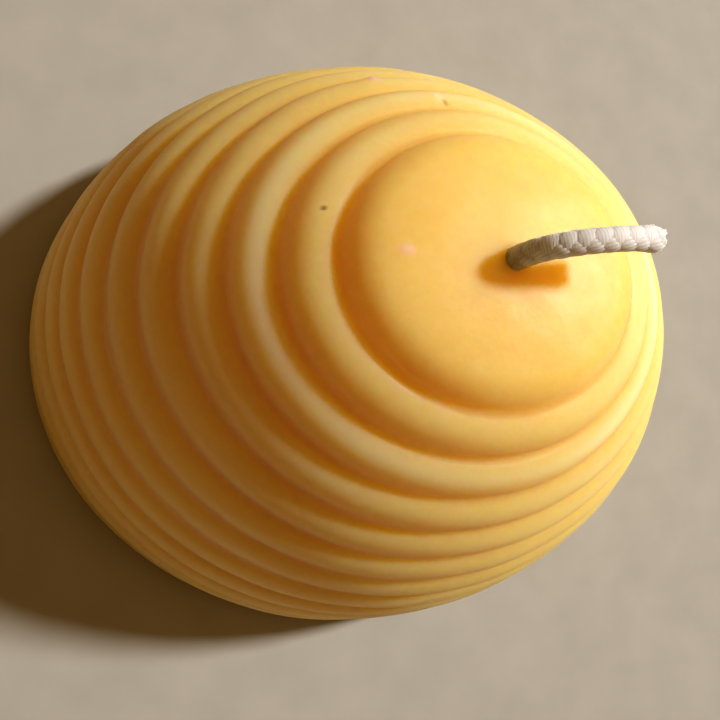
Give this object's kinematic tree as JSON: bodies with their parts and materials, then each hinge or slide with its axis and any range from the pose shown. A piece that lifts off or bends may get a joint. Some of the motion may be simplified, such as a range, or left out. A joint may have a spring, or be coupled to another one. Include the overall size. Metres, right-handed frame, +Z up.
{
  "type": "skep-shaped beeswax candle",
  "caption": "Free-standing beeswax candle cast in the shape of a coiled straw skep, with a flat base, a low round crown and a square-braided cotton wick that leans over.",
  "frame": {"origin": "centre of the flat base, at the bottom of the candle's axis", "axes": "+Z up along the candle's axis, +X the way the wick's free end leans, +Y completes the right-handed frame"},
  "size_m": [0.0674, 0.06, 0.0482],
  "materials": {
    "beeswax": "satin translucent beeswax, smooth as cast, slightly dull bloom in the grooves",
    "wick_cotton": "braided cotton, waxed and darker at the crown, white and dry at the cut end"
  },
  "bodies": {
    "root": {"wax_body": "beeswax", "wick_strand_right_1": "wick_cotton", "wick_strand_right_2": "wick_cotton", "wick_strand_right_3": "wick_cotton", "wick_strand_right_4": "wick_cotton", "wick_strand_left_1": "wick_cotton", "wick_strand_left_2": "wick_cotton", "wick_strand_left_3": "wick_cotton", "wick_strand_left_4": "wick_cotton"}
  },
  "joints": []
}
